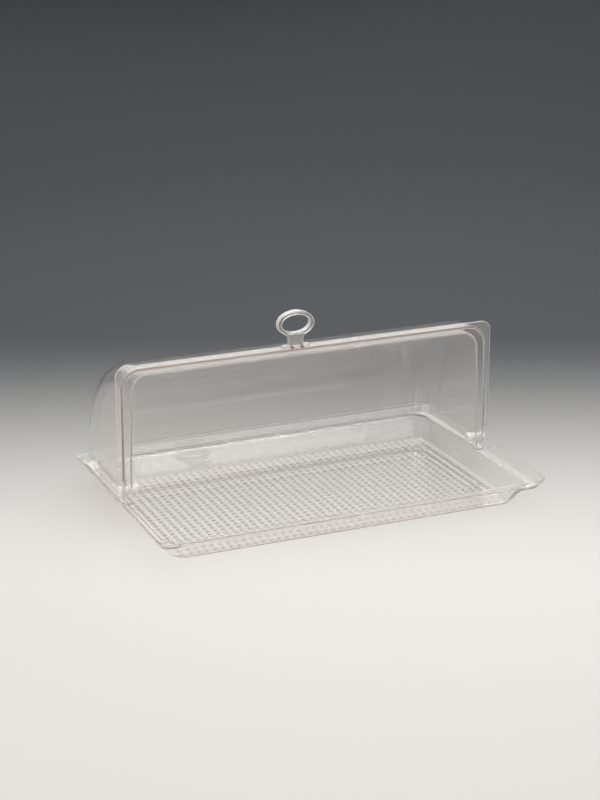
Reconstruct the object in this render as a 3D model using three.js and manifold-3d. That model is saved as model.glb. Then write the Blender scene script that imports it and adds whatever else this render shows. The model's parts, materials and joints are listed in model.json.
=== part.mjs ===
// Roll top display tray: a shallow clear tray with a flared lip, a clear rear cover that stands in it
// and a larger clear front cover that turns back over the rear one about two side pivots.
// Millimetres, +Z up, +X to the right seen from the front, the front at -Y.
// The origin is the middle of the footprint, on the table. The front cover is modelled rolled back, open.
import * as THREE from "three";
import { mergeVertices } from "three/addons/utils/BufferGeometryUtils.js";
import Module from "manifold-3d";

const wasm = await Module();
wasm.setup();

// Shared values
const plasticWall = 2.8;
const touchGap = 0.3;
const overrun = 5;
const quarterTurn = Math.PI / 2;
const cornerSteps = 4;
const coverTurnSteps = 72;
const smallTurnSteps = 24;

// Tray: half a section runs from the flat base up the slanted wall to a ledge, then up the flared lip
const trayLength = 540;
const trayWidth = 340;
const trayCorner = 15;
const lipRise = 9.4;
const lipThickness = 2.6;
const lipFoot = 9.4;
const lipFootCorner = 11;
const lipOuterFoot = 9;
const lipUndercut = 3.5;
const ledgeHeight = 28;
const ledgeSide = 8.1;
const ledgeFront = 3.6;
const openingCorner = 26;
const wallRunSide = 14;
const wallRunFront = 17.5;
const baseCorner = 20;
const bodySkin = 2.2;

// Hinge line, shared by both covers
const hingeRise = 16.5;
const hingeDepth = 1.5;

// Front cover: turned shell about the hinge line, with a flat flange round its leading edge.
// Closed, the flange lies just inside the tray's lip.
const flangePlay = 0.4;
const flangeAhead = 9.5;
const flangeTopBorder = 5.4;
const flangeSideBorder = 6.2;
const flangeCorner = 12;
const flangeFootHeight = 15.5;
const flangeFootCorner = 3;
const frontDraft = 1.2;
const frontFillet = 26;
const trailingHeight = 0.5;
const trailingFrom = 30;
const earMargin = 0.5;
const earEndShare = 0.9;

// Rear cover: the same form inside the front one, with a base flange on the tray's ledge
const coverGap = 3;
const hubGap = 6.1;
const rearDraft = 4.2;
const rearFillet = 24;
const rearEdgeAhead = 10;
const seatPlay = 0.4;
const baseFlangeFront = 11.5;

// Pivots: a headed pin from outside, a spacer between the two walls, a washer and a cap nut inside
const barrelDiameter = 7.4;
const barrelPlay = 0.3;
const headDiameter = 12.4;
const headThickness = 4;
const headEdge = 0.8;
const spacerDiameter = 9.6;
const washerDiameter = 11.8;
const washerThickness = 3;
const nutDiameter = 13.6;
const nutRim = 3.4;
const nutNeckDiameter = 10.4;
const nutNeck = 2.2;
const nutEdge = 0.8;
const nutEndWall = 1.6;

// Ring handle, screwed to the back of the leading flange, so that it passes over the tray's lip when shut
const handleOffset = -17.7;
const ringWidth = 51.4;
const ringHeight = 34.6;
const ringBandSide = 6;
const ringBandTop = 5.6;
const ringRise = 10.4;
const ringSteps = 14;
const handleDepth = 8;
const handleEdge = 1.1;
const neckWidth = 20;
const neckFlare = 3;
const neckTopShare = 1 / 3;
const footWidth = 38;
const footDrop = 0.8;
const footPlay = 0.7;
const screwSpacing = 14;
const screwDrop = 2.8;
const screwShank = 2.4;
const screwHead = 4;
const screwHeadThickness = 1;
const screwBite = 5;

// Worked out from the sizes above: the tray
const trayHeight = ledgeHeight + lipRise;
const openingLength = trayLength - 2 * (lipFoot + ledgeSide);
const openingWidth = trayWidth - 2 * (lipFoot + ledgeFront);
const baseLength = openingLength - 2 * wallRunSide;
const baseWidth = openingWidth - 2 * wallRunFront;

// The front cover, whose flange fits inside the lip at the height where it lies closed
const hingeHeight = ledgeHeight + hingeRise;
const lipInset = lipFoot - (lipFoot - lipThickness) * (hingeRise - flangeAhead) / lipRise;
const flangeHalf = trayLength / 2 - lipInset - flangePlay;
const flangeReach = trayWidth / 2 + hingeDepth - lipInset - flangePlay;
const flangeBack = flangeAhead - plasticWall;
const flangeTop = hingeHeight + flangeReach;
const frontRadius = flangeReach - flangeTopBorder;
const frontHubHalf = flangeHalf - flangeSideBorder;
const frontRimHalf = frontHubHalf - frontDraft;
const earRadius = flangeAhead + earMargin;

// The rear cover, whose base flange fits inside the lip's foot
const rearRadius = frontRadius - plasticWall - coverGap;
const rearHubHalf = frontHubHalf - plasticWall - hubGap;
const rearRimHalf = rearHubHalf - rearDraft;
const rearWallInside = rearHubHalf - plasticWall;
const baseFlangeHalf = trayLength / 2 - lipFoot - seatPlay;
const baseFlangeRear = trayWidth / 2 - lipFoot - seatPlay;

const CLEAR = { roughness: 0.08, metalness: 0, transparent: true, opacity: 0.35 };
const trayMaterial = new THREE.MeshStandardMaterial({ color: 0xe9ebea, ...CLEAR });
const rearMaterial = new THREE.MeshStandardMaterial({ color: 0xdfe3e4, ...CLEAR });
const frontMaterial = new THREE.MeshStandardMaterial({ color: 0xe6e6e3, ...CLEAR });
const handleMaterial = new THREE.MeshStandardMaterial({ color: 0xf1f1ee, ...CLEAR });
const pivotMaterial = new THREE.MeshStandardMaterial({ color: 0xf4f3ef, ...CLEAR });
const screwMaterial = new THREE.MeshStandardMaterial({ color: 0x8b7460, roughness: 0.35, metalness: 0.8 });

// A closed three.js geometry as a solid that can be joined and cut.
function solidOf(geometry) {
  const plain = geometry.clone();
  plain.deleteAttribute("normal");
  plain.deleteAttribute("uv");
  const merged = mergeVertices(plain);
  return new wasm.Manifold(
    new wasm.Mesh({
      numProp: 3,
      vertProperties: new Float32Array(merged.attributes.position.array),
      triVerts: new Uint32Array(merged.index.array),
    }),
  );
}

// A finished solid as a three.js geometry.
function geometryOf(solid) {
  const mesh = solid.getMesh();
  const geometry = new THREE.BufferGeometry();
  geometry.setAttribute("position", new THREE.BufferAttribute(mesh.vertProperties, 3));
  geometry.setIndex(new THREE.BufferAttribute(mesh.triVerts, 1));
  geometry.computeVertexNormals();
  return geometry;
}

function piece(name, solid, material) {
  const mesh = new THREE.Mesh(geometryOf(solid), material);
  mesh.name = name;
  return mesh;
}

// A level rectangle with rounded corners, as a shape of short straight runs.
function roundedRectangle(halfLength, halfWidth, corner) {
  const shape = new THREE.Shape();
  shape.absarc(halfLength - corner, halfWidth - corner, corner, 0, quarterTurn);
  shape.absarc(corner - halfLength, halfWidth - corner, corner, quarterTurn, 2 * quarterTurn);
  shape.absarc(corner - halfLength, corner - halfWidth, corner, 2 * quarterTurn, 3 * quarterTurn);
  shape.absarc(halfLength - corner, corner - halfWidth, corner, 3 * quarterTurn, 4 * quarterTurn);
  return shape;
}

// A block whose outline changes from one rounded rectangle to another on the way up.
// Every point of the outline lies on a corner's arc, so it moves with that corner.
function taperedBlock(lower, upper) {
  const geometry = new THREE.ExtrudeGeometry(
    roundedRectangle(lower.halfLength, lower.halfWidth, lower.corner),
    { depth: upper.level - lower.level, bevelEnabled: false, curveSegments: cornerSteps },
  );
  const position = geometry.attributes.position;
  const spread = upper.corner / lower.corner;
  for (let i = 0; i < position.count; i++) {
    const x = position.getX(i);
    const y = position.getY(i);
    if (position.getZ(i) > (upper.level - lower.level) / 2) {
      const sideX = Math.sign(x);
      const sideY = Math.sign(y);
      const inX = x - sideX * (lower.halfLength - lower.corner);
      const inY = y - sideY * (lower.halfWidth - lower.corner);
      position.setX(i, sideX * (upper.halfLength - upper.corner) + inX * spread);
      position.setY(i, sideY * (upper.halfWidth - upper.corner) + inY * spread);
    }
  }
  geometry.translate(0, 0, lower.level);
  return solidOf(geometry);
}

// The same outline carried on past its upper level at the same slant, for a clean cut.
function carriedOn(lower, upper, extra) {
  const share = extra / (upper.level - lower.level);
  return {
    halfLength: upper.halfLength + (upper.halfLength - lower.halfLength) * share,
    halfWidth: upper.halfWidth + (upper.halfWidth - lower.halfWidth) * share,
    corner: upper.corner + (upper.corner - lower.corner) * share,
    level: upper.level + extra,
  };
}

function tray() {
  const base = {
    halfLength: baseLength / 2,
    halfWidth: baseWidth / 2,
    corner: baseCorner,
    level: 0,
  };
  const opening = {
    halfLength: openingLength / 2,
    halfWidth: openingWidth / 2,
    corner: openingCorner,
    level: ledgeHeight,
  };
  const floor = {
    halfLength: baseLength / 2 - bodySkin,
    halfWidth: baseWidth / 2 - bodySkin,
    corner: baseCorner - bodySkin,
    level: plasticWall,
  };
  const shoulder = {
    halfLength: openingLength / 2 + bodySkin,
    halfWidth: openingWidth / 2 + bodySkin,
    corner: openingCorner,
    level: ledgeHeight - plasticWall / 2,
  };
  const lipBottom = {
    halfLength: trayLength / 2 - lipOuterFoot,
    halfWidth: trayWidth / 2 - lipOuterFoot,
    corner: lipFootCorner,
    level: ledgeHeight - lipUndercut,
  };
  const lipTop = {
    halfLength: trayLength / 2,
    halfWidth: trayWidth / 2,
    corner: trayCorner,
    level: trayHeight,
  };
  const lipInnerBottom = {
    halfLength: trayLength / 2 - lipFoot,
    halfWidth: trayWidth / 2 - lipFoot,
    corner: lipFootCorner,
    level: ledgeHeight,
  };
  const lipInnerTop = {
    halfLength: trayLength / 2 - lipThickness,
    halfWidth: trayWidth / 2 - lipThickness,
    corner: trayCorner - lipThickness,
    level: trayHeight,
  };
  return taperedBlock(base, shoulder)
    .add(taperedBlock(lipBottom, lipTop))
    .subtract(taperedBlock(floor, carriedOn(floor, opening, overrun)))
    .subtract(taperedBlock(lipInnerBottom, carriedOn(lipInnerBottom, lipInnerTop, overrun)));
}

// A body turned about the hinge line: points give distance from the line and place along X.
function turned(points, steps) {
  const geometry = new THREE.LatheGeometry(points, steps);
  geometry.rotateZ(-quarterTurn);
  geometry.translate(0, hingeDepth, hingeHeight);
  return solidOf(geometry);
}

// Half profile of a cover's drum, thinned by inset all round: flat ends joined to the drum by fillets.
function drum(radius, hubHalf, rimHalf, fillet, inset) {
  const r = radius - inset;
  const round = fillet - inset;
  const rim = rimHalf - inset;
  const outline = new THREE.Path();
  outline.moveTo(0, inset - hubHalf);
  outline.lineTo(r - round, -rim);
  outline.absarc(r - round, round - rim, round, -quarterTurn, 0);
  outline.absarc(r - round, rim - round, round, 0, quarterTurn);
  outline.lineTo(0, hubHalf - inset);
  return turned(outline.getPoints(cornerSteps), coverTurnSteps);
}

// A shape drawn in depth (x) and height (y) from the hinge line, carried along the whole length.
function lengthwise(shape, halfLength) {
  const geometry = new THREE.ExtrudeGeometry(shape, {
    depth: 2 * halfLength,
    bevelEnabled: false,
    curveSegments: cornerSteps,
  });
  geometry.rotateX(quarterTurn);
  geometry.rotateZ(quarterTurn);
  geometry.translate(-halfLength, hingeDepth, hingeHeight);
  return solidOf(geometry);
}

// An upright shape drawn in X and height above the hinge line, from one depth back to another.
function upright(shape, front, depth) {
  const geometry = new THREE.ExtrudeGeometry(shape, {
    depth,
    bevelEnabled: false,
    curveSegments: cornerSteps,
  });
  geometry.rotateX(quarterTurn);
  geometry.translate(0, hingeDepth + front + depth, hingeHeight);
  return solidOf(geometry);
}

// A round bar along X, centred on the hinge line.
function hingeBar(diameter, from, to) {
  const geometry = new THREE.CylinderGeometry(diameter / 2, diameter / 2, to - from, smallTurnSteps);
  geometry.rotateZ(quarterTurn);
  geometry.translate((from + to) / 2, hingeDepth, hingeHeight);
  return solidOf(geometry);
}

function frontCover() {
  const reach = frontRadius + overrun;
  const cut = new THREE.Shape();
  cut.moveTo(-flangeAhead, reach);
  cut.lineTo(-flangeAhead, 0);
  cut.absarc(0, 0, earRadius, Math.PI + Math.acos(flangeAhead / earRadius), 4 * quarterTurn * earEndShare);
  cut.lineTo(trailingFrom, trailingHeight);
  cut.lineTo(reach, trailingHeight);
  cut.lineTo(reach, reach);
  cut.closePath();

  const flange = new THREE.Shape();
  flange.moveTo(-flangeHalf, flangeReach - flangeCorner);
  flange.lineTo(-flangeHalf, flangeFootHeight + flangeFootCorner);
  flange.absarc(
    flangeFootCorner - flangeHalf,
    flangeFootHeight + flangeFootCorner,
    flangeFootCorner,
    2 * quarterTurn,
    3 * quarterTurn,
  );
  flange.lineTo(flangeHalf - flangeFootCorner, flangeFootHeight);
  flange.absarc(
    flangeHalf - flangeFootCorner,
    flangeFootHeight + flangeFootCorner,
    flangeFootCorner,
    -quarterTurn,
    0,
  );
  flange.absarc(flangeHalf - flangeCorner, flangeReach - flangeCorner, flangeCorner, 0, quarterTurn);
  flange.absarc(
    flangeCorner - flangeHalf,
    flangeReach - flangeCorner,
    flangeCorner,
    quarterTurn,
    2 * quarterTurn,
  );

  const outside = drum(frontRadius, frontHubHalf, frontRimHalf, frontFillet, 0);
  const inside = drum(frontRadius, frontHubHalf, frontRimHalf, frontFillet, plasticWall);
  return outside
    .intersect(lengthwise(cut, flangeHalf))
    .add(upright(flange, -flangeAhead, plasticWall))
    .subtract(inside)
    .subtract(hingeBar(barrelDiameter + 2 * barrelPlay, -flangeHalf, flangeHalf))
    .subtract(screwBars(screwShank + 2 * touchGap, flangeAhead + overrun, flangeBack - touchGap));
}

function rearCover() {
  const reach = rearRadius + overrun;
  const seat = ledgeHeight + touchGap - hingeHeight;
  const cut = new THREE.Shape();
  cut.moveTo(-rearEdgeAhead, seat);
  cut.lineTo(reach, seat);
  cut.lineTo(reach, reach);
  cut.lineTo(-rearEdgeAhead, reach);

  const armRound = (baseFlangeHalf - rearWallInside) / 2;
  const armEnd = armRound - baseFlangeFront;
  const armMiddle = rearWallInside + armRound;
  const rim = new THREE.Shape();
  rim.moveTo(-rearWallInside, armEnd);
  rim.lineTo(-rearWallInside, rearRadius / 2);
  rim.lineTo(rearWallInside, rearRadius / 2);
  rim.lineTo(rearWallInside, armEnd);
  rim.absarc(armMiddle, armEnd, armRound, 2 * quarterTurn, 4 * quarterTurn);
  rim.absarc(
    baseFlangeHalf - lipFootCorner,
    baseFlangeRear - lipFootCorner,
    lipFootCorner,
    0,
    quarterTurn,
  );
  rim.absarc(
    lipFootCorner - baseFlangeHalf,
    baseFlangeRear - lipFootCorner,
    lipFootCorner,
    quarterTurn,
    2 * quarterTurn,
  );
  rim.absarc(-armMiddle, armEnd, armRound, 2 * quarterTurn, 4 * quarterTurn);
  const plate = new THREE.ExtrudeGeometry(rim, {
    depth: plasticWall,
    bevelEnabled: false,
    curveSegments: cornerSteps,
  });
  plate.translate(0, 0, ledgeHeight + touchGap);

  const outside = drum(rearRadius, rearHubHalf, rearRimHalf, rearFillet, 0);
  const inside = drum(rearRadius, rearHubHalf, rearRimHalf, rearFillet, plasticWall);
  return outside
    .intersect(lengthwise(cut, rearHubHalf + overrun))
    .add(solidOf(plate))
    .subtract(inside)
    .subtract(hingeBar(barrelDiameter + 2 * barrelPlay, -flangeHalf, flangeHalf));
}

// A small turned piece on the hinge line; side is 1 on the right and -1 on the left.
function turnedOnSide(points, side) {
  const along = points.map(([r, x]) => new THREE.Vector2(r, side * x));
  return turned(side > 0 ? along : along.reverse(), smallTurnSteps);
}

const washerFrom = rearWallInside - touchGap - washerThickness;
const nutTo = washerFrom - touchGap;
const nutFrom = nutTo - nutNeck - nutRim;
const headFrom = frontHubHalf + touchGap;
const barrelEnd = nutFrom + nutEndWall;

function pivotPin(side) {
  const barrel = barrelDiameter / 2;
  const head = headDiameter / 2;
  const points = [
    [0, barrelEnd + touchGap],
    [barrel, barrelEnd + touchGap],
    [barrel, headFrom],
    [head, headFrom],
    [head, headFrom + headThickness - headEdge],
    [head - headEdge, headFrom + headThickness],
    [0, headFrom + headThickness],
  ];
  return turnedOnSide(points, side);
}

// A turned ring round the pin's barrel.
function barrelRing(diameter, from, to, side) {
  const bore = barrelDiameter / 2 + barrelPlay;
  const points = [
    [bore, from],
    [diameter / 2, from],
    [diameter / 2, to],
    [bore, to],
    [bore, from],
  ];
  return turnedOnSide(points, side);
}

function pivotNut(side) {
  const bore = barrelDiameter / 2 + touchGap;
  const rim = nutDiameter / 2;
  const neck = nutNeckDiameter / 2;
  const points = [
    [0, nutFrom],
    [rim - nutEdge, nutFrom],
    [rim, nutFrom + nutEdge],
    [rim, nutFrom + nutRim],
    [neck, nutFrom + nutRim],
    [neck, nutTo],
    [bore, nutTo],
    [bore, barrelEnd],
    [0, barrelEnd],
  ];
  return turnedOnSide(points, side);
}

// The two handle screws' places as bars of one diameter, from ahead of the hinge line to behind it.
function screwBar(diameter, ahead, back, side) {
  const geometry = new THREE.CylinderGeometry(diameter / 2, diameter / 2, ahead - back, smallTurnSteps);
  geometry.translate(
    handleOffset + side * screwSpacing / 2,
    hingeDepth - (ahead + back) / 2,
    flangeTop - screwDrop,
  );
  return solidOf(geometry);
}

function screwBars(diameter, ahead, back) {
  return screwBar(diameter, ahead, back, 1).add(screwBar(diameter, ahead, back, -1));
}

const footFront = flangeBack - touchGap;
const screwTip = footFront - screwBite;

function ringHandle() {
  const ringMiddle = flangeReach + ringRise + ringHeight / 2;
  const ring = new THREE.Shape();
  ring.absellipse(0, ringMiddle, ringWidth / 2 - handleEdge, ringHeight / 2 - handleEdge, 0, 2 * Math.PI);
  const hole = new THREE.Path();
  hole.absellipse(
    0,
    ringMiddle,
    ringWidth / 2 - ringBandSide + handleEdge,
    ringHeight / 2 - ringBandTop + handleEdge,
    0,
    2 * Math.PI,
  );
  ring.holes.push(hole);

  // The neck widens into the foot, which stands on the cover's drum, hidden behind the flange
  const neckHalf = neckWidth / 2 - handleEdge;
  const footHalf = footWidth / 2 - handleEdge;
  const footBottom = frontRadius + footPlay + handleEdge;
  const footTop = flangeReach - footDrop;
  const neckTop = ringMiddle - ringHeight * neckTopShare;
  const neck = new THREE.Shape();
  neck.moveTo(-footHalf, footBottom);
  neck.lineTo(footHalf, footBottom);
  neck.lineTo(footHalf, footTop - handleEdge);
  neck.lineTo(neckHalf + neckFlare, footTop - handleEdge);
  neck.quadraticCurveTo(neckHalf, footTop, neckHalf, footTop + neckFlare);
  neck.quadraticCurveTo(neckHalf, flangeReach + ringRise, neckHalf + neckFlare, neckTop);
  neck.lineTo(-neckHalf - neckFlare, neckTop);
  neck.quadraticCurveTo(-neckHalf, flangeReach + ringRise, -neckHalf, footTop + neckFlare);
  neck.quadraticCurveTo(-neckHalf, footTop, -neckHalf - neckFlare, footTop - handleEdge);
  neck.lineTo(-footHalf, footTop - handleEdge);

  const bevelled = (shape) => {
    const geometry = new THREE.ExtrudeGeometry(shape, {
      depth: handleDepth - 2 * handleEdge,
      bevelThickness: handleEdge,
      bevelSize: handleEdge,
      bevelSegments: 2,
      curveSegments: ringSteps,
    });
    geometry.rotateX(quarterTurn);
    geometry.translate(handleOffset, hingeDepth - footFront + handleDepth - handleEdge, hingeHeight);
    return solidOf(geometry);
  };
  const window = new THREE.Shape();
  window.absellipse(
    handleOffset,
    ringMiddle,
    ringWidth / 2 - ringBandSide,
    ringHeight / 2 - ringBandTop,
    0,
    2 * Math.PI,
  );
  return bevelled(neck)
    .subtract(upright(window, -footFront - overrun, handleDepth + 2 * overrun))
    .add(bevelled(ring))
    .subtract(screwBars(screwShank + 2 * touchGap, footFront + overrun, screwTip - touchGap));
}

function handleScrew(side) {
  const headBack = flangeAhead + touchGap;
  return screwBar(screwShank, headBack + screwHeadThickness, screwTip, side).add(
    screwBar(screwHead, headBack + screwHeadThickness, headBack, side),
  );
}

const rollTopDisplayTray = new THREE.Group();
rollTopDisplayTray.add(piece("tray", tray(), trayMaterial));

const hood = new THREE.Group();
hood.add(piece("rear_cover", rearCover(), rearMaterial));

const lid = new THREE.Group();
lid.add(piece("front_cover", frontCover(), frontMaterial));
lid.add(piece("ring_handle", ringHandle(), handleMaterial));

for (const [suffix, side] of [
  ["left", -1],
  ["right", 1],
]) {
  const spacerFrom = rearHubHalf + touchGap;
  const spacerTo = frontHubHalf - plasticWall - touchGap;
  hood.add(piece("pivot_pin_" + suffix, pivotPin(side), pivotMaterial));
  hood.add(
    piece("pivot_spacer_" + suffix, barrelRing(spacerDiameter, spacerFrom, spacerTo, side), pivotMaterial),
  );
  hood.add(
    piece(
      "pivot_washer_" + suffix,
      barrelRing(washerDiameter, washerFrom, washerFrom + washerThickness, side),
      pivotMaterial,
    ),
  );
  hood.add(piece("pivot_nut_" + suffix, pivotNut(side), pivotMaterial));
  lid.add(piece("handle_screw_" + suffix, handleScrew(side), screwMaterial));
}
hood.add(lid);
rollTopDisplayTray.add(hood);

export default rollTopDisplayTray;
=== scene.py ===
# Roll top display tray: clear moulded tray, clear rear cover standing in it, clear front cover rolled back.
# Metres, +Z up, +X to the right seen from the open front, the front at -Y.
import json
import math

import bmesh
import bpy
from mathutils import Matrix, Vector

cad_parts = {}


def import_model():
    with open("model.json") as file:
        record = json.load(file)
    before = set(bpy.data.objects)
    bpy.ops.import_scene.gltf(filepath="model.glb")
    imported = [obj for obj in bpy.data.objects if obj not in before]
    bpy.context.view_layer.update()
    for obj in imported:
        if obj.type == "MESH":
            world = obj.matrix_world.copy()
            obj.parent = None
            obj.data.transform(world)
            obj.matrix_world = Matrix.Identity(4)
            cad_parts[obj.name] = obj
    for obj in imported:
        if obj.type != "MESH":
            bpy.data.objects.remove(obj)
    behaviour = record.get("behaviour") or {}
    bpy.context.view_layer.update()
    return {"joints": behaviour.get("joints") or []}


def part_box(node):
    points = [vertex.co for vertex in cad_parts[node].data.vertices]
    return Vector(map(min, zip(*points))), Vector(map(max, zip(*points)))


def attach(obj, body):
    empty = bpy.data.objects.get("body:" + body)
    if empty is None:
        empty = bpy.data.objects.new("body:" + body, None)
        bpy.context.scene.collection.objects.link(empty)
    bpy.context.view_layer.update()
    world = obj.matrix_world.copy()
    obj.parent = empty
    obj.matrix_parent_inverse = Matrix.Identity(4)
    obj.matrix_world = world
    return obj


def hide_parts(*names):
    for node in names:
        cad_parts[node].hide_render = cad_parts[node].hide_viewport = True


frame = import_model()

MM = 0.001
TURN = 2 * math.pi
QUARTER = math.pi / 2
HINGE = Vector(next(j for j in frame["joints"] if j["name"] == "lid_roll")["pos_m"])
TRAY_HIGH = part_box("tray")[1]
FRONT_LOW, FRONT_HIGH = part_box("front_cover")
REAR_LOW, REAR_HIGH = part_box("rear_cover")
RING_LOW, RING_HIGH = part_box("ring_handle")

# Shared
WALL = 2.8 * MM
DRUM_STEPS = 120
FILLET_STEPS = 14
ARC_STEPS = 8
SMALL_STEPS = 4
EXTRA = 5 * MM
CORNER_SHARE = 0.49
SHARP_ANGLE = math.radians(32)
MERGE_DISTANCE = 0.02 * MM
LEAST_EDGE = 0.01 * MM

# Camera, from the photograph's perspective
CAMERA_AZIMUTH = math.radians(-23.24)
CAMERA_ELEVATION = math.radians(18.62)
CAMERA_ROLL = math.radians(-0.22)
CAMERA_DISTANCE = 2648.9 * MM
CAMERA_ASIDE = -10.46 * MM
CAMERA_ABOVE = 124.63 * MM
FOCAL_PIXELS = 1988.5
FRAME_HEIGHT_PIXELS = 800
SENSOR_MM = 36

# Render
LIGHT_BOUNCES = 32


# Meshes
def object_from(name, bm):
    """A new object with this mesh in it."""
    bmesh.ops.recalc_face_normals(bm, faces=bm.faces)
    mesh = bpy.data.meshes.new(name)
    bm.to_mesh(mesh)
    bm.free()
    made = bpy.data.objects.new(name, mesh)
    bpy.context.scene.collection.objects.link(made)
    return made


def applied(made):
    """Puts what the object's modifiers make into its mesh, and drops them."""
    graph = bpy.context.evaluated_depsgraph_get()
    graph.update()
    mesh = bpy.data.meshes.new_from_object(made.evaluated_get(graph), depsgraph=graph)
    made.modifiers.clear()
    made.data = mesh
    return made


def combined(made, other, operation):
    """Cuts with, joins or keeps what two solids share, and drops the second."""
    boolean = made.modifiers.new("boolean", "BOOLEAN")
    boolean.operation = operation
    boolean.solver = "EXACT"
    boolean.object = other
    applied(made)
    bpy.data.objects.remove(other)
    return made


def softened(points, radii, steps, closed=False):
    """A line of points, tuples of any length, with each corner rounded by about its radius."""
    line = []
    count = len(points)
    for i, (point, radius) in enumerate(zip(points, radii)):
        inside = closed or 0 < i < count - 1
        if not inside or radius == 0:
            line.append(tuple(point))
            continue
        corner = Vector(point)
        before = Vector(points[i - 1]) - corner
        after = Vector(points[(i + 1) % count]) - corner
        start = corner + before * min(radius / before.length, CORNER_SHARE)
        end = corner + after * min(radius / after.length, CORNER_SHARE)
        for step in range(steps + 1):
            t = step / steps
            line.append(tuple(start * (1 - t) ** 2 + corner * (2 * t * (1 - t)) + end * t * t))
    return line


def arc(centre, radius, start, end, steps):
    """Points of an arc, both ends included."""
    return [
        (
            centre[0] + radius * math.cos(start + (end - start) * i / steps),
            centre[1] + radius * math.sin(start + (end - start) * i / steps),
        )
        for i in range(steps + 1)
    ]


def mirrored(side):
    """A whole outline from its half on one side of the middle."""
    return side + [(-x, y) for x, y in reversed(side)]


def turned(name, profile, steps, closed=False):
    """A solid turned about the hinge line, from places along X and distances from the line.

    The steps start half a step round, so that none lies along a cover's straight edges.
    """
    bm = bmesh.new()
    rings = []
    for x, r in profile:
        if r == 0:
            rings.append([bm.verts.new(HINGE + Vector((x, 0, 0)))])
            continue
        rings.append(
            [
                bm.verts.new(HINGE + Vector((x, r * math.cos(a), r * math.sin(a))))
                for a in (TURN * (i + 0.5) / steps for i in range(steps))
            ]
        )
    pairs = list(zip(rings, rings[1:])) + ([(rings[-1], rings[0])] if closed else [])
    for near, far in pairs:
        for i in range(steps):
            j = (i + 1) % steps
            corners = [near[i % len(near)], near[j % len(near)], far[j % len(far)], far[i % len(far)]]
            bm.faces.new(list(dict.fromkeys(corners)))
    for ring in (rings[0], rings[-1]):
        if len(ring) > 1 and not closed:
            bm.faces.new(ring)
    return object_from(name, bm)


def prism(name, outline, place, depth):
    """A solid from a flat outline, put in place by a function and carried along a vector."""
    bm = bmesh.new()
    near = [bm.verts.new(place(*point)) for point in outline]
    far = [bm.verts.new(place(*point) + depth) for point in outline]
    bm.faces.new(near)
    bm.faces.new(far)
    for i in range(len(outline)):
        j = (i + 1) % len(outline)
        bm.faces.new((near[i], near[j], far[j], far[i]))
    return object_from(name, bm)


def rounded_edges(made, choose, widest, materials):
    """Rounds the sharp edges, which take the second material.

    choose gives the radius from an edge's middle and whether it is hollow.
    """
    bm = bmesh.new()
    bm.from_mesh(made.data)
    bmesh.ops.remove_doubles(bm, verts=bm.verts, dist=MERGE_DISTANCE)
    bmesh.ops.dissolve_degenerate(bm, edges=bm.edges, dist=LEAST_EDGE)
    layers = bm.edges.layers.float
    weight = layers.get("bevel_weight_edge") or layers.new("bevel_weight_edge")
    for edge in bm.edges:
        if len(edge.link_faces) == 2 and edge.calc_face_angle(0) > SHARP_ANGLE:
            middle = (edge.verts[0].co + edge.verts[1].co) / 2
            edge[weight] = choose(middle, not edge.is_convex) / widest
    bm.to_mesh(made.data)
    bm.free()
    for material in materials:
        made.data.materials.append(material)
    bevel = made.modifiers.new("bevel", "BEVEL")
    bevel.material = len(materials) - 1
    bevel.limit_method = "WEIGHT"
    bevel.width = widest
    bevel.segments = SMALL_STEPS
    bevel.use_clamp_overlap = False
    bevel.miter_outer = "MITER_ARC"
    applied(made)
    return made


def smooth(made):
    """Smooth shading with flat faces kept flat."""
    made.data.polygons.foreach_set("use_smooth", [True] * len(made.data.polygons))
    weighted = made.modifiers.new("weighted", "WEIGHTED_NORMAL")
    weighted.keep_sharp = True
    return applied(made)


def dressed(made, material, body, slot, *nodes):
    """A finished piece: its material, what it rides on, and the solids that it stands for."""
    if not made.data.materials:
        made.data.materials.append(material)
    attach(made, body)
    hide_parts(*nodes)
    return made


# Materials
PLASTIC_IOR = 1.53
WAVE_DEPTH = 0.04 * MM
SHADOW_PASSED = (0.98, 0.978, 0.975)
BODY_TINT = (0.9, 0.82, 0.785)
BODY_DENSITY = 20
EVEN = (1, 1, 1)
NOISE_ROUGHNESS = 0.55
NOISE_LOW = 0.35
NOISE_HIGH = 0.7
CLOUD = {"scale": 9, "stretch": EVEN, "detail": 3}
HAIRLINES = {"scale": 60, "stretch": (1, 14, 14), "detail": 2}
METAL_GRAIN = {"scale": 900, "stretch": EVEN, "detail": 3}
TURNING_MARKS = {"scale": 1500, "stretch": (1, 6, 1), "detail": 3}
METAL_DARK = (0.23, 0.16, 0.11)
METAL_PALE = (0.42, 0.32, 0.24)
METAL_GLOSS = (0.25, 0.45)


def node(tree, kind, **inputs):
    """A new shader node with values on its inputs, whose names have _ for a space."""
    made = tree.nodes.new(kind)
    for name, value in inputs.items():
        made.inputs[name.replace("_", " ")].default_value = value
    return made


def mapped_noise(tree, low, high, scale, stretch=EVEN, detail=1):
    """Noise over the piece's own coordinates, mapped from low to high."""
    place = tree.nodes.new("ShaderNodeTexCoord")
    mapping = tree.nodes.new("ShaderNodeMapping")
    mapping.inputs["Scale"].default_value = stretch
    noise = node(tree, "ShaderNodeTexNoise", Scale=scale, Detail=detail, Roughness=NOISE_ROUGHNESS)
    spread = node(tree, "ShaderNodeMapRange", From_Min=NOISE_LOW, From_Max=NOISE_HIGH)
    spread.inputs["To Min"].default_value = low
    spread.inputs["To Max"].default_value = high
    tree.links.new(place.outputs["Object"], mapping.inputs["Vector"])
    tree.links.new(mapping.outputs["Vector"], noise.inputs["Vector"])
    tree.links.new(noise.outputs["Fac"], spread.inputs["Value"])
    return spread.outputs["Result"]


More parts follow.
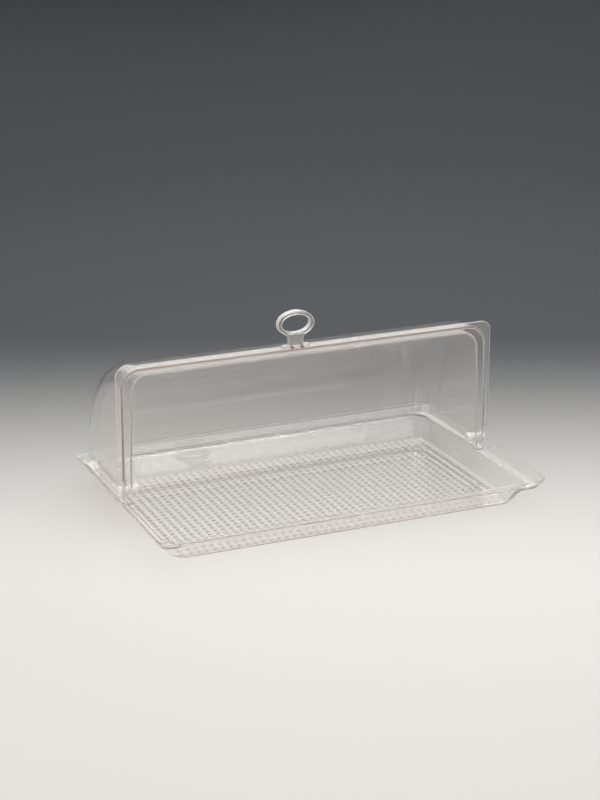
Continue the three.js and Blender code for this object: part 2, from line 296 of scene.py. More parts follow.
def clear_plastic(name, colour, clearness, haze, wave_scale, tinted_inside=True):
    """Clear plastic: faint haze and hairlines in its gloss, a slight wave from forming, and clear shadows."""
    material = bpy.data.materials.new(name)
    material.use_nodes = True
    tree = material.node_tree
    tree.nodes.clear()
    output = tree.nodes.new("ShaderNodeOutputMaterial")
    plastic = tree.nodes.new("ShaderNodeBsdfPrincipled")
    plastic.inputs["Base Color"].default_value = (*colour, 1)
    plastic.inputs["IOR"].default_value = PLASTIC_IOR
    plastic.inputs["Transmission Weight"].default_value = clearness
    cloud = mapped_noise(tree, 0, haze, **CLOUD)
    hairline = mapped_noise(tree, 0, haze, **HAIRLINES)
    gloss = node(tree, "ShaderNodeMath")
    gloss.operation = "ADD"
    tree.links.new(cloud, gloss.inputs[0])
    tree.links.new(hairline, gloss.inputs[1])
    tree.links.new(gloss.outputs[0], plastic.inputs["Roughness"])
    bump = node(tree, "ShaderNodeBump", Strength=1, Distance=WAVE_DEPTH)
    tree.links.new(mapped_noise(tree, 0, 1, wave_scale), bump.inputs["Height"])
    tree.links.new(bump.outputs["Normal"], plastic.inputs["Normal"])
    clear = tree.nodes.new("ShaderNodeBsdfTransparent")
    clear.inputs["Color"].default_value = (*SHADOW_PASSED, 1)
    path = tree.nodes.new("ShaderNodeLightPath")
    light = tree.nodes.new("ShaderNodeMath")
    light.operation = "MAXIMUM"
    mix = tree.nodes.new("ShaderNodeMixShader")
    tree.links.new(path.outputs["Is Shadow Ray"], light.inputs[0])
    tree.links.new(path.outputs["Is Diffuse Ray"], light.inputs[1])
    tree.links.new(light.outputs[0], mix.inputs[0])
    tree.links.new(plastic.outputs[0], mix.inputs[1])
    tree.links.new(clear.outputs[0], mix.inputs[2])
    tree.links.new(mix.outputs[0], output.inputs["Surface"])
    if tinted_inside:
        body = tree.nodes.new("ShaderNodeVolumeAbsorption")
        body.inputs["Color"].default_value = (*BODY_TINT, 1)
        body.inputs["Density"].default_value = BODY_DENSITY
        tree.links.new(body.outputs[0], output.inputs["Volume"])
    return material


def bronzed_metal():
    """Bronze-toned screw metal with fine turning marks."""
    material = bpy.data.materials.new("bronzed_metal")
    material.use_nodes = True
    tree = material.node_tree
    metal = tree.nodes["Principled BSDF"]
    metal.inputs["Metallic"].default_value = 1
    ramp = tree.nodes.new("ShaderNodeValToRGB")
    ramp.color_ramp.elements[0].color = (*METAL_DARK, 1)
    ramp.color_ramp.elements[1].color = (*METAL_PALE, 1)
    tree.links.new(mapped_noise(tree, 0, 1, **METAL_GRAIN), ramp.inputs["Fac"])
    tree.links.new(ramp.outputs["Color"], metal.inputs["Base Color"])
    tree.links.new(mapped_noise(tree, *METAL_GLOSS, **TURNING_MARKS), metal.inputs["Roughness"])
    return material


# Tray
TRAY_CORNER = 15 * MM
LIP_FOOT_CORNER = 11 * MM
LIP_THICKNESS = 2.6 * MM
LIP_FOOT = 9.4 * MM
LIP_OUTER_FOOT = 9 * MM
LIP_UNDERCUT = 3.5 * MM
LEDGE_HEIGHT = 28 * MM
LEDGE_SIDE = 8.1 * MM
LEDGE_FRONT = 3.6 * MM
OPENING_CORNER = 26 * MM
WALL_RUN_SIDE = 14 * MM
WALL_RUN_FRONT = 17.5 * MM
BASE_CORNER = 20 * MM
BODY_SKIN = 2.2 * MM
TRAY_EDGE = 0.9 * MM
TRAY_FILLET = 2.4 * MM
LIP_FOOT_FILLET = 6.5 * MM
CORNER_POINTS = 14
TRAY_EDGE_STEPS = 5
BORDER_WIDTH = 1.4 * MM
BORDER_STEP = 0.8 * MM
BORDER_RISE = 0.3 * MM
PIP_PITCH = 10.7 * MM
PIP_COLUMNS = 43
PIP_ROWS = 25
PIP_RADIUS = 3.1 * MM
PIP_HEIGHT = 0.1 * MM
PIP_SIDES = 12
PIP_RING_SHARES = ((1, 0), (0.86, 0.6), (0.64, 1))
PIP_MARGIN = 2.8 * MM


def rounded_ring(bm, half_x, half_y, corner, z):
    """Vertices round a level rectangle with rounded corners."""
    made = []
    for turn, (sx, sy) in enumerate(((1, 1), (-1, 1), (-1, -1), (1, -1))):
        for x, y in arc(
            (sx * (half_x - corner), sy * (half_y - corner)),
            corner,
            turn * QUARTER,
            (turn + 1) * QUARTER,
            CORNER_POINTS,
        ):
            made.append(bm.verts.new((x, y, z)))
    return made


def bridged(bm, near, far):
    """The faces between two rings with as many vertices."""
    turns = [(i, (i + 1) % len(near)) for i in range(len(near))]
    return [bm.faces.new((near[i], near[j], far[j], far[i])) for i, j in turns]


def pip_field(bm, z):
    """The floor's field of low round pips. Gives the corner vertices round its outside, in order."""
    corners = {}
    columns = [(i - PIP_COLUMNS / 2) * PIP_PITCH for i in range(PIP_COLUMNS + 1)]
    rows = [(i - PIP_ROWS / 2) * PIP_PITCH for i in range(PIP_ROWS + 1)]
    trim = PIP_PITCH / 2 - PIP_MARGIN
    columns[0], columns[-1] = columns[0] + trim, columns[-1] - trim
    rows[0], rows[-1] = rows[0] + trim, rows[-1] - trim
    for i, x in enumerate(columns):
        for j, y in enumerate(rows):
            corners[i, j] = bm.verts.new((x, y, z))
    turns = [TURN * (k + 0.5) / PIP_SIDES for k in range(PIP_SIDES)]
    quarter = PIP_SIDES // 4
    for i in range(PIP_COLUMNS):
        for j in range(PIP_ROWS):
            x = (i + 0.5 - PIP_COLUMNS / 2) * PIP_PITCH
            y = (j + 0.5 - PIP_ROWS / 2) * PIP_PITCH
            rings = [
                [
                    bm.verts.new(
                        (
                            x + PIP_RADIUS * out * math.cos(a),
                            y + PIP_RADIUS * out * math.sin(a),
                            z + PIP_HEIGHT * up,
                        )
                    )
                    for a in turns
                ]
                for out, up in PIP_RING_SHARES
            ]
            square = [corners[i + 1, j], corners[i + 1, j + 1], corners[i, j + 1], corners[i, j]]
            for side in range(4):
                last = quarter * (side + 1) - (quarter + 1) // 2
                edge = [rings[0][(last - k) % PIP_SIDES] for k in range(quarter + 1)]
                bm.faces.new([square[side], square[(side + 1) % 4], *edge])
            # The pip faces take the second material, whose darker tint is painted shade for the pips'
            # shading.
            for near, far in zip(rings, rings[1:]):
                for face in bridged(bm, near, far):
                    face.material_index = 1
            bm.faces.new(rings[-1]).material_index = 1
    last_i, last_j = PIP_COLUMNS, PIP_ROWS
    outside = [corners[i, 0] for i in range(last_i)]
    outside += [corners[last_i, j] for j in range(last_j)]
    outside += [corners[i, last_j] for i in range(last_i, 0, -1)]
    outside += [corners[0, j] for j in range(last_j, 0, -1)]
    return outside


def tray():
    """The tray in one skin, from under its base out to its lip and back in to its floor, with the pips."""
    half_x, half_y, top = TRAY_HIGH
    opening = (half_x - LIP_FOOT - LEDGE_SIDE, half_y - LIP_FOOT - LEDGE_FRONT)
    base = (opening[0] - WALL_RUN_SIDE, opening[1] - WALL_RUN_FRONT)
    shoulder = LEDGE_HEIGHT - LIP_UNDERCUT
    share = shoulder / (LEDGE_HEIGHT - WALL / 2)
    waist = [b + (o + BODY_SKIN - b) * share for b, o in zip(base, opening)]
    waist_corner = BASE_CORNER + (OPENING_CORNER - BASE_CORNER) * share
    edge, fillet = TRAY_EDGE, TRAY_FILLET
    rings = [
        (base[0] - BASE_CORNER / 2, base[1] - BASE_CORNER / 2, BASE_CORNER / 2, 0, 0),
        (*base, BASE_CORNER, 0, fillet),
        (*waist, waist_corner, shoulder, edge),
        (half_x - LIP_OUTER_FOOT, half_y - LIP_OUTER_FOOT, LIP_FOOT_CORNER, shoulder, edge),
        (half_x, half_y, TRAY_CORNER, top, edge),
        (half_x - LIP_THICKNESS, half_y - LIP_THICKNESS, TRAY_CORNER - LIP_THICKNESS, top, edge),
        (half_x - LIP_FOOT, half_y - LIP_FOOT, LIP_FOOT_CORNER, LEDGE_HEIGHT, LIP_FOOT_FILLET),
        (*opening, OPENING_CORNER, LEDGE_HEIGHT, edge),
        (base[0] - BODY_SKIN, base[1] - BODY_SKIN, BASE_CORNER - BODY_SKIN, WALL, fillet),
    ]
    for inward, rise in ((BORDER_WIDTH, 0), (BORDER_WIDTH + BORDER_STEP, BORDER_RISE)):
        inset = BODY_SKIN + inward
        rings.append((base[0] - inset, base[1] - inset, BASE_CORNER - inset, WALL + rise, 0))
    bm = bmesh.new()
    line = softened([r[:4] for r in rings], [r[4] for r in rings], TRAY_EDGE_STEPS)
    made = [rounded_ring(bm, *ring) for ring in line]
    for near, far in zip(made, made[1:]):
        bridged(bm, near, far)
    bm.faces.new(made[0])
    inner = pip_field(bm, WALL + BORDER_RISE)
    loops = []
    for loop in (made[-1], inner):
        for i in range(len(loop)):
            pair = (loop[i], loop[(i + 1) % len(loop)])
            loops.append(bm.edges.get(pair) or bm.edges.new(pair))
    bmesh.ops.triangle_fill(bm, use_beauty=True, edges=loops)
    piece = smooth(object_from("moulded_tray", bm))
    dressed(piece, TRAY_PLASTIC, "tray", "tray_plastic", "tray")
    piece.data.materials.append(PIP_PAINTED_SHADE)


# Covers
FRONT_RADIUS = FRONT_HIGH.y - HINGE.y
FLANGE_PAST_HUB = 6.2 * MM
FRONT_HUB_HALF = FRONT_HIGH.x - FLANGE_PAST_HUB
FRONT_DRAFT = 1.2 * MM
FRONT_FILLET = 26 * MM
FLANGE_CORNER = 12 * MM
FLANGE_FOOT_HEIGHT = 15.5 * MM
FLANGE_FOOT_CORNER = 3 * MM
FLANGE_AHEAD = HINGE.y - FRONT_LOW.y
EAR_MARGIN = 0.5 * MM
EAR_END = 0.9 * TURN
TRAILING_HEIGHT = 0.5 * MM
TRAILING_FROM = 30 * MM
HUB_GAP = 6.1 * MM
REAR_RADIUS = REAR_HIGH.z - HINGE.z
REAR_HUB_HALF = FRONT_HUB_HALF - WALL - HUB_GAP
REAR_DRAFT = 4.2 * MM
REAR_FILLET = 24 * MM
REAR_EDGE_AHEAD = 10 * MM
BASE_FLANGE_CORNER = 11 * MM
PIN_HOLE = 4 * MM
ARM_CORNER = 6.4 * MM
EDGE_RADIUS = 0.9 * MM
CORNER_RADIUS = 1.1 * MM
BORE_EDGE = 0.3 * MM
GRID_START = 28 * MM
GRID_PITCH = 20 * MM


def drum(name, radius, hub_half, fillet, inset):
    """A cover's closed drum with flat ends, smaller by inset all round."""
    r, rounding, half = radius - inset, fillet - inset, hub_half - inset
    profile = mirrored(arc((half - rounding, r - rounding), rounding, 0, QUARTER, FILLET_STEPS))
    return turned(name, profile, DRUM_STEPS)


def lengthwise(name, outline, half):
    """A prism along X from an outline in depth and height from the hinge line."""
    return prism(name, outline, lambda y, z: HINGE + Vector((-half, y, z)), Vector((2 * half, 0, 0)))


def pin_bore(half):
    """What both pivots' bores take out of a cover."""
    return turned("bore", [(half, PIN_HOLE), (-half, PIN_HOLE)], PIVOT_STEPS)


def cover_edge(middle, hollow):
    """The radius of a cover's edge: wider in a hollow, least round the pin's bore."""
    if math.hypot(middle.y - HINGE.y, middle.z - HINGE.z) < 2 * PIN_HOLE:
        return BORE_EDGE
    return CORNER_RADIUS if hollow else EDGE_RADIUS


def drafted(made, draft, hub_half, outer_half, side_radius):
    """Leans a cover's flat ends in, more with the distance from the hinge line.

    Cuts across the mesh let the ends bend evenly, and the flange's edge stays where it is.
    """
    bm = bmesh.new()
    bm.from_mesh(made.data)
    for axis in (1, 2):
        normal = Vector((0, 0, 0))
        normal[axis] = 1
        place = HINGE + normal * GRID_START
        while (place - HINGE).length < side_radius:
            parts = [*bm.verts, *bm.edges, *bm.faces]
            bmesh.ops.bisect_plane(bm, geom=parts, plane_co=place, plane_no=normal)
            place += normal * GRID_PITCH
    for vertex in bm.verts:
        out = math.hypot(vertex.co.y - HINGE.y, vertex.co.z - HINGE.z)
        x = abs(vertex.co.x)
        share = min(x / hub_half, (outer_half - x) / (outer_half - hub_half))
        vertex.co.x -= math.copysign(draft * min(out / side_radius, 1) * share, vertex.co.x)
    bm.to_mesh(made.data)
    bm.free()
    return made


def formed_cover(name, drum_sizes, half, draft, cut, flange, plastic):
    """A cover cut from its drum, with its flange, hollow inside and bored for the pins."""
    radius, hub_half, fillet = drum_sizes
    shell = drum(name, *drum_sizes, 0)
    combined(shell, lengthwise("cut", cut, half), "INTERSECT")
    combined(shell, flange, "UNION")
    combined(shell, drum("inside", *drum_sizes, WALL), "DIFFERENCE")
    combined(shell, pin_bore(half), "DIFFERENCE")
    rounded_edges(shell, cover_edge, CORNER_RADIUS, (plastic, EDGE_PLASTIC))
    drafted(shell, draft, hub_half, half, radius - fillet)
    return smooth(shell)


def front_cover():
    """The rolling cover: a quarter drum with ears round its pivots and a flat flange along its front."""
    reach = FRONT_RADIUS + EXTRA
    ear = FLANGE_AHEAD + EAR_MARGIN
    start = math.pi + math.acos(FLANGE_AHEAD / ear)
    cut = [(-FLANGE_AHEAD, reach), *arc((0, 0), ear, start, EAR_END, ARC_STEPS)]
    cut += [(TRAILING_FROM, TRAILING_HEIGHT), (reach, TRAILING_HEIGHT), (reach, reach)]
    half = FRONT_HIGH.x
    flange_reach = FRONT_HIGH.z - HINGE.z
    low, high = FLANGE_FOOT_CORNER, FLANGE_CORNER
    side = arc((half - low, FLANGE_FOOT_HEIGHT + low), low, -QUARTER, 0, ARC_STEPS)
    side += arc((half - high, flange_reach - high), high, 0, QUARTER, FILLET_STEPS)
    front = -FLANGE_AHEAD
    depth = Vector((0, WALL, 0))
    flange = prism("flange", mirrored(side), lambda x, z: HINGE + Vector((x, front, z)), depth)
    sizes = (FRONT_RADIUS, FRONT_HUB_HALF, FRONT_FILLET)
    shell = formed_cover("rolling_cover", sizes, half, FRONT_DRAFT, cut, flange, FRONT_PLASTIC)
    return dressed(shell, FRONT_PLASTIC, "lid", "front_plastic", "front_cover")


def rear_cover():
    """The standing cover: a quarter drum on a base flange, with an arm to each pivot."""
    reach = REAR_RADIUS + EXTRA
    seat = REAR_LOW.z - HINGE.z
    cut = [(-REAR_EDGE_AHEAD, seat), (reach, seat), (reach, reach), (-REAR_EDGE_AHEAD, reach)]
    half, rear = REAR_HIGH.x, REAR_HIGH.y - HINGE.y
    arm_inside = REAR_HUB_HALF - 2 * WALL
    arm_front = REAR_LOW.y - HINGE.y
    ahead, behind = ARM_CORNER, BASE_FLANGE_CORNER
    side = [(arm_inside, rear / 2), (arm_inside, arm_front)]
    side += arc((half - ahead, arm_front + ahead), ahead, -QUARTER, 0, ARC_STEPS)
    side += arc((half - behind, rear - behind), behind, 0, QUARTER, FILLET_STEPS)
    depth = Vector((0, 0, WALL))
    flange = prism("base_flange", mirrored(side), lambda x, y: HINGE + Vector((x, y, seat)), depth)
    sizes = (REAR_RADIUS, REAR_HUB_HALF, REAR_FILLET)
    shell = formed_cover("standing_cover", sizes, half, REAR_DRAFT, cut, flange, REAR_PLASTIC)
    return dressed(shell, REAR_PLASTIC, "hood", "rear_plastic", "rear_cover")


# Pivots
PIVOT_STEPS = 48
BORE_PLAY = 0.3 * MM
PIN_BARREL = 3.7 * MM
PIN_HEAD_THICKNESS = 4 * MM
PIVOT_EDGE = 0.6 * MM
NUT_RIM = 3.4 * MM
NUT_NECK_RADIUS = 5.2 * MM
NUT_END_WALL = 1.6 * MM


def pivot_piece(name, points, radii, node_name, closed=False):
    """A small turned piece; its places along X are already on its own side."""
    profile = softened(points, radii, SMALL_STEPS, closed)
    piece = smooth(turned(name, profile, PIVOT_STEPS, closed))
    return dressed(piece, PIVOT_PLASTIC, "hood", "pivot_plastic", node_name)


def pivots(side, suffix):
    """One side's pin, spacer, washer and cap nut, as long and as wide as their solids."""

    def ends(node_name):
        low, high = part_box(node_name)
        near, far = sorted((low.x * side, high.x * side))
        return near, far, (high.z - low.z) / 2

    near, far, radius = ends("pivot_pin_" + suffix)
    neck = far - PIN_HEAD_THICKNESS
    points = [(near, 0), (near, PIN_BARREL), (neck, PIN_BARREL), (neck, radius), (far, radius), (far, 0)]
    edge = PIVOT_EDGE
    points = [(side * x, r) for x, r in points]
    pivot_piece("pin_" + suffix, points, [0, edge, 0, edge, 2 * edge, 0], "pivot_pin_" + suffix)

    bore = PIN_BARREL + BORE_PLAY
    for kind in ("spacer", "washer"):
        near, far, radius = ends(f"pivot_{kind}_{suffix}")
        points = [(side * near, bore), (side * near, radius), (side * far, radius), (side * far, bore)]
        pivot_piece(f"{kind}_{suffix}", points, [0, edge, edge, 0], f"pivot_{kind}_{suffix}", True)

    near, far, radius = ends("pivot_nut_" + suffix)
    points = [
        (near, 0),
        (near, radius),
        (near + NUT_RIM, radius),
        (near + NUT_RIM, NUT_NECK_RADIUS),
        (far, NUT_NECK_RADIUS),
        (far, bore),
        (near + NUT_END_WALL, bore),
        (near + NUT_END_WALL, 0),
    ]
    points = [(side * x, r) for x, r in points]
    pivot_piece("nut_" + suffix, points, [0, 2 * edge, edge, edge / 2, edge, 0, 0, 0], "pivot_nut_" + suffix)


# Ring handle
BAND_SIDE = 6 * MM
BAND_TOP = 5.6 * MM
RING_HEIGHT = 34.6 * MM
RING_STEPS = 96
GROOVE_DEPTH = 0.7 * MM
GROOVE_MOUTH_SHARE = 0.34
GROOVE_BOTTOM_SHARE = 0.085
RIM_SHARE = 0.15
NECK_INTO_BAND_SHARE = 0.7
HANDLE_EDGE = 1.1 * MM
NECK_HALF = 10 * MM
NECK_FLARE = 3 * MM
NECK_EDGE = 0.66 * MM
NECK_STEPS = 10
FOOT_HALF = 19 * MM
FOOT_TOP_UNDER_FLANGE = 0.8 * MM
SCREW_PLAY = 0.3 * MM
BORE_STEPS = 24


def ring_band(middle, half_x, half_z, front, depth):
    """The ring: one section, with a shallow groove in its front and back, carried round an oval."""
    groove = [
        (0.5 - GROOVE_MOUTH_SHARE, 0),
        (0.5 - GROOVE_BOTTOM_SHARE, GROOVE_DEPTH),
        (0.5 + GROOVE_BOTTOM_SHARE, GROOVE_DEPTH),
        (0.5 + GROOVE_MOUTH_SHARE, 0),
    ]
    front_side = [(0, 0), *groove, (1, 0)]
    section = [(share * BAND_SIDE, y) for share, y in front_side]
    section += [(share * BAND_SIDE, depth - y) for share, y in reversed(front_side)]
    radii = [HANDLE_EDGE, *[HANDLE_EDGE / 2] * len(groove), HANDLE_EDGE] * 2
    line = softened(section, radii, SMALL_STEPS, True)
    bm = bmesh.new()
    rings = []
    for i in range(RING_STEPS):
        a = TURN * i / RING_STEPS
        ring = []
        for inward, y in line:
            share = inward / BAND_SIDE
            x = (half_x - share * BAND_SIDE) * math.cos(a)
            z = (half_z - share * BAND_TOP) * math.sin(a)
            ring.append(bm.verts.new(middle + Vector((x, front + y - middle.y, z))))
        rings.append(ring)
    for i in range(RING_STEPS):
        for k, face in enumerate(bridged(bm, rings[i], rings[(i + 1) % RING_STEPS])):
            share = (line[k][0] + line[(k + 1) % len(line)][0]) / 2 / BAND_SIDE
            face.material_index = int(not RIM_SHARE < share < 1 - RIM_SHARE)
    return object_from("ring_handle_piece", bm)


def ring_handle():
    """The ring with its neck and foot, in one piece, with a bore for each screw."""
    half_x = (RING_HIGH.x - RING_LOW.x) / 2
    half_z = RING_HEIGHT / 2
    middle = Vector(((RING_LOW.x + RING_HIGH.x) / 2, 0, RING_HIGH.z - half_z))
    front, depth = RING_LOW.y, RING_HIGH.y - RING_LOW.y
    ring = ring_band(middle, half_x, half_z, front, depth)

    foot_top = FRONT_HIGH.z - FOOT_TOP_UNDER_FLANGE
    neck_top = middle.z - half_z + BAND_TOP * NECK_INTO_BAND_SHARE
    side = softened(
        [
            (FOOT_HALF, RING_LOW.z),
            (FOOT_HALF, foot_top),
            (NECK_HALF, foot_top),
            (NECK_HALF, (foot_top + neck_top) / 2),
            (NECK_HALF + NECK_FLARE, neck_top),
        ],
        [0, HANDLE_EDGE, NECK_FLARE, NECK_FLARE, 0],
        NECK_STEPS,
    )
    through = Vector((0, depth, 0))
    neck = prism("neck", mirrored(side), lambda x, z: Vector((middle.x + x, front, z)), through)
    rounded_edges(neck, lambda at, hollow: NECK_EDGE, NECK_EDGE, (HANDLE_PLASTIC, RIM_PLASTIC))
    for suffix in ("left", "right"):
        low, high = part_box("handle_screw_" + suffix)
        centre = (low + high) / 2
        points = arc((0, 0), SCREW_SHANK + SCREW_PLAY, 0, TURN, BORE_STEPS)[:-1]
        bore = prism(
            "bore",
            points,
            lambda x, z, c=centre: Vector((c.x + x, front - EXTRA, c.z + z)),
            Vector((0, high.y - front + EXTRA + SCREW_PLAY, 0)),
        )
        combined(neck, bore, "DIFFERENCE")
    for material in (HANDLE_PLASTIC, RIM_PLASTIC):
        ring.data.materials.append(material)
    combined(ring, neck, "UNION")
    return dressed(smooth(ring), HANDLE_PLASTIC, "lid", "handle_plastic", "ring_handle")


# Handle screws
SCREW_SHANK = 1.2 * MM
SCREW_HEAD_THICKNESS = 1 * MM
SCREW_DOME = 0.35 * MM
SLOT_WIDTH = 0.6 * MM
SLOT_DEPTH = 0.45 * MM
SLOT_SHARE = 0.62
SCREW_STEPS = 32


def handle_screw(suffix):
    """A small round-headed screw with a cross slot, its head on the flange's front."""
    low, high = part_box("handle_screw_" + suffix)
    head = (high.x - low.x) / 2
    centre = Vector(((low.x + high.x) / 2, low.y, (low.z + high.z) / 2))
    slot = head * SLOT_SHARE
    under, tip = SCREW_HEAD_THICKNESS, high.y - low.y
    profile = softened(
        [
            (0, 0),
            (0, slot),
            (SCREW_DOME, head),
            (under, head),
            (under, SCREW_SHANK),
            (tip, SCREW_SHANK),
            (tip, 0),
        ],
        [0, SCREW_DOME, SCREW_DOME, SCREW_DOME / 2, 0, SCREW_DOME, 0],
        SMALL_STEPS,
    )
    made = turned("screw_" + suffix, profile, SCREW_STEPS)
    turn = Matrix.Translation(centre) @ Matrix.Rotation(QUARTER, 4, "Z") @ Matrix.Translation(-HINGE)
    made.data.transform(turn)
    for width, height in ((slot, SLOT_WIDTH / 2), (SLOT_WIDTH / 2, slot)):
        outline = [(-width, -height), (width, -height), (width, height), (-width, height)]
        cutter = prism(
            "slot",
            outline,
            lambda x, z: centre + Vector((x, -SLOT_DEPTH, z)),
            Vector((0, 2 * SLOT_DEPTH, 0)),
        )
        combined(made, cutter, "DIFFERENCE")
    smooth(made)
    return dressed(made, SCREW_METAL, "lid", "screw_metal", "handle_screw_" + suffix)


# Stage
FLOOR_RADIUS = 3.4
BOWL_RADIUS = 1.5
FLAT_RINGS = (0.5, 1, 1.5)
BOWL_HEIGHT = 2.4
BOWL_STEPS = 96
BOWL_CURVE_STEPS = 12
FLOOR_SKIN = 0.3 * MM
FLOOR_COLOUR = (0.82, 0.8, 0.77)
# The dark end of the floor's painted shade.
PAINTED_SHADE_COLOUR = (0.085, 0.091, 0.099)
FLOOR_PALE_TO = -0.33
BACKDROP_DARKEST_AT = 0.75
WALL_DARK_TO = 0.6
WALL_PALE_FROM = 1.1
STUDIO_ROUGHNESS = 0.85
STUDIO_GLOSS = 0.2
WORLD_COLOUR = (0.74, 0.77, 0.8)
WORLD_STRENGTH = 0.45


def studio_paint_with_painted_shade():
    """Pale paint with painted shade: darker towards the back, over the floor and low on the wall."""
    material = bpy.data.materials.new("pale_studio_painted_shade")
    material.use_nodes = True
    tree = material.node_tree
    surface = tree.nodes["Principled BSDF"]
    surface.inputs["Roughness"].default_value = STUDIO_ROUGHNESS
    surface.inputs["Specular IOR Level"].default_value = STUDIO_GLOSS
    place = tree.nodes.new("ShaderNodeTexCoord")
    behind = tree.nodes.new("ShaderNodeVectorMath")
    behind.operation = "DOT_PRODUCT"
    behind.inputs[1].default_value = (-math.sin(CAMERA_AZIMUTH), math.cos(CAMERA_AZIMUTH), 0)
    spread = node(tree, "ShaderNodeMapRange", From_Min=FLOOR_PALE_TO, From_Max=BACKDROP_DARKEST_AT)
    height = tree.nodes.new("ShaderNodeSeparateXYZ")
    low = node(tree, "ShaderNodeMapRange", From_Min=WALL_PALE_FROM, From_Max=WALL_DARK_TO)
    dark = tree.nodes.new("ShaderNodeMath")
    dark.operation = "MULTIPLY"
    ramp = tree.nodes.new("ShaderNodeValToRGB")
    ramp.color_ramp.interpolation = "EASE"
    ramp.color_ramp.elements[0].color = (*FLOOR_COLOUR, 1)
    ramp.color_ramp.elements[1].color = (*PAINTED_SHADE_COLOUR, 1)
    tree.links.new(place.outputs["Object"], behind.inputs[0])
    tree.links.new(behind.outputs["Value"], spread.inputs["Value"])
    tree.links.new(place.outputs["Object"], height.inputs[0])
    tree.links.new(height.outputs["Z"], low.inputs["Value"])
    tree.links.new(spread.outputs["Result"], dark.inputs[0])
    tree.links.new(low.outputs["Result"], dark.inputs[1])
    tree.links.new(dark.outputs["Value"], ramp.inputs["Fac"])
    tree.links.new(ramp.outputs["Color"], surface.inputs["Base Color"])
    return material


def stage():
    """A pale floor that curves up all round into a wall."""
    bm = bmesh.new()
    profile = [(r, 0) for r in FLAT_RINGS]
    curve_from = (FLOOR_RADIUS - BOWL_RADIUS, BOWL_RADIUS)
    profile += arc(curve_from, BOWL_RADIUS, -QUARTER, 0, BOWL_CURVE_STEPS)
    profile.append((FLOOR_RADIUS, BOWL_HEIGHT))
    angles = [TURN * i / BOWL_STEPS for i in range(BOWL_STEPS)]
    rings = [
        [bm.verts.new((r * math.cos(a), r * math.sin(a), z - FLOOR_SKIN)) for a in angles]
        for r, z in profile
    ]
    for near, far in zip(rings, rings[1:]):
        bridged(bm, near, far)
    bm.faces.new(rings[0])
    floor = object_from("studio_floor", bm)
    floor.data.polygons.foreach_set("use_smooth", [True] * len(floor.data.polygons))
    # The floor's paint carries painted shade towards the back.
    floor.data.materials.append(studio_paint_with_painted_shade())


def softbox(name, place, target, width, depth, watts, colour):
    """A flat soft lamp that the camera doesn't see, turned to its target."""
    lamp = bpy.data.lights.new(name, "AREA")
    lamp.shape = "RECTANGLE"
    lamp.size = width
    lamp.size_y = depth
    lamp.energy = watts
    lamp.color = colour
    made = bpy.data.objects.new(name, lamp)
    made.location = place
    made.rotation_mode = "QUATERNION"
    made.rotation_quaternion = (Vector(target) - Vector(place)).to_track_quat("-Z", "Y")
    made.visible_camera = False
    bpy.context.scene.collection.objects.link(made)


def world():
    """A plain grey studio above the backdrop."""
    made = bpy.data.worlds.new("studio")
    made.use_nodes = True
    background = made.node_tree.nodes["Background"]
    background.inputs["Color"].default_value = (*WORLD_COLOUR, 1)
    background.inputs["Strength"].default_value = WORLD_STRENGTH
    bpy.context.scene.world = made


def camera():
    """The photograph's camera."""
    azimuth, elevation = CAMERA_AZIMUTH, CAMERA_ELEVATION
    back = Vector(
        (
            math.sin(azimuth) * math.cos(elevation),
            -math.cos(azimuth) * math.cos(elevation),
            math.sin(elevation),
        )
    )
    level_right = Vector((math.cos(azimuth), math.sin(azimuth), 0))
    level_up = back.cross(level_right)
    c, s = math.cos(CAMERA_ROLL), math.sin(CAMERA_ROLL)
    right = level_right * c + level_up * s
    up = level_up * c - level_right * s
    data = bpy.data.cameras.new("camera")
    data.sensor_width = SENSOR_MM
    data.lens = SENSOR_MM * FOCAL_PIXELS / FRAME_HEIGHT_PIXELS
    made = bpy.data.objects.new("camera", data)
    turn = Matrix((right, up, back)).transposed().to_4x4()
    place = back * CAMERA_DISTANCE + right * CAMERA_ASIDE + up * CAMERA_ABOVE
    made.matrix_world = Matrix.Translation(place) @ turn
    bpy.context.scene.collection.objects.link(made)
    bpy.context.scene.camera = made


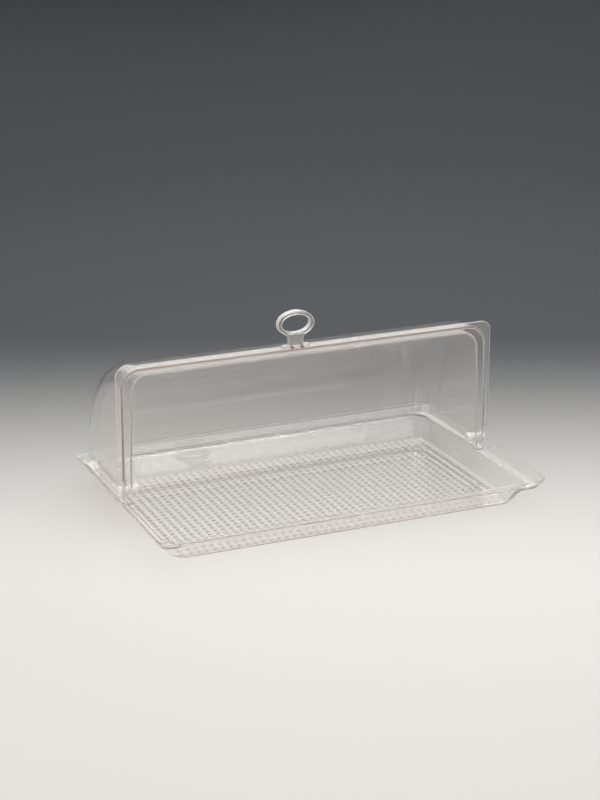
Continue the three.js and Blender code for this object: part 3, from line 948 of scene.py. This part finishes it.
# Plastics and metal
TRAY_PLASTIC = clear_plastic(
    "tray_plastic", (0.985, 0.98, 0.975), clearness=0.94, haze=0.05, wave_scale=12
)
# Pip plastic tinted darker than the tray: painted shade that makes the pips read as dark marks.
PIP_PAINTED_SHADE = clear_plastic(
    "pip_painted_shade", (0.78, 0.767, 0.758), clearness=0.94, haze=0.1, wave_scale=12, tinted_inside=False
)
REAR_PLASTIC = clear_plastic(
    "rear_plastic", (0.975, 0.973, 0.97), clearness=0.945, haze=0.035, wave_scale=10
)
FRONT_PLASTIC = clear_plastic(
    "front_plastic", (0.98, 0.975, 0.972), clearness=0.955, haze=0.03, wave_scale=10
)
EDGE_PLASTIC = clear_plastic(
    "edge_plastic", (0.98, 0.965, 0.955), clearness=0.72, haze=0.2, wave_scale=40, tinted_inside=False
)
HANDLE_PLASTIC = clear_plastic(
    "handle_plastic", (0.99, 0.985, 0.98), clearness=0.88, haze=0.03, wave_scale=40
)
RIM_PLASTIC = clear_plastic(
    "rim_plastic", (1, 0.99, 0.98), clearness=0.6, haze=0.12, wave_scale=40, tinted_inside=False
)
PIVOT_PLASTIC = clear_plastic(
    "pivot_plastic", (1, 0.99, 0.98), clearness=0.12, haze=0.12, wave_scale=60
)
SCREW_METAL = bronzed_metal()

camera()
stage()
world()

# Lamps
MIDDLE = (0, 0, 0.1)
REAR_LIP = (0.8, 0.165, 0.03)
softbox(
    "overhead", (0.2, 0.2, 1.9), MIDDLE, width=2.1, depth=1.5, watts=27.8, colour=(1, 0.985, 0.96)
)
softbox(
    "front_left", (-1.7, -1.9, 1.3), MIDDLE, width=1.1, depth=1.1, watts=13, colour=(1, 0.99, 0.97)
)
softbox(
    "back_right", (1.6, 1.5, 1.5), MIDDLE, width=0.9, depth=0.9, watts=6, colour=(0.97, 0.985, 1)
)
softbox(
    "behind", (0.55, 2.4, 1.15), MIDDLE, width=2.4, depth=1.1, watts=7, colour=(1, 0.99, 0.975)
)
softbox(
    "strip", (0.8, -1.03, 1.64), REAR_LIP, width=0.76, depth=0.22, watts=2.2, colour=(1, 0.99, 0.98)
)

# Pieces
tray()
rear_cover()
front_cover()
for suffix, side in (("left", -1), ("right", 1)):
    pivots(side, suffix)
    handle_screw(suffix)
ring_handle()

# Render settings
scene = bpy.context.scene
scene.view_settings.view_transform = "Standard"
for bounces in ("max_bounces", "transmission_bounces", "glossy_bounces", "transparent_max_bounces"):
    setattr(scene.cycles, bounces, LIGHT_BOUNCES)
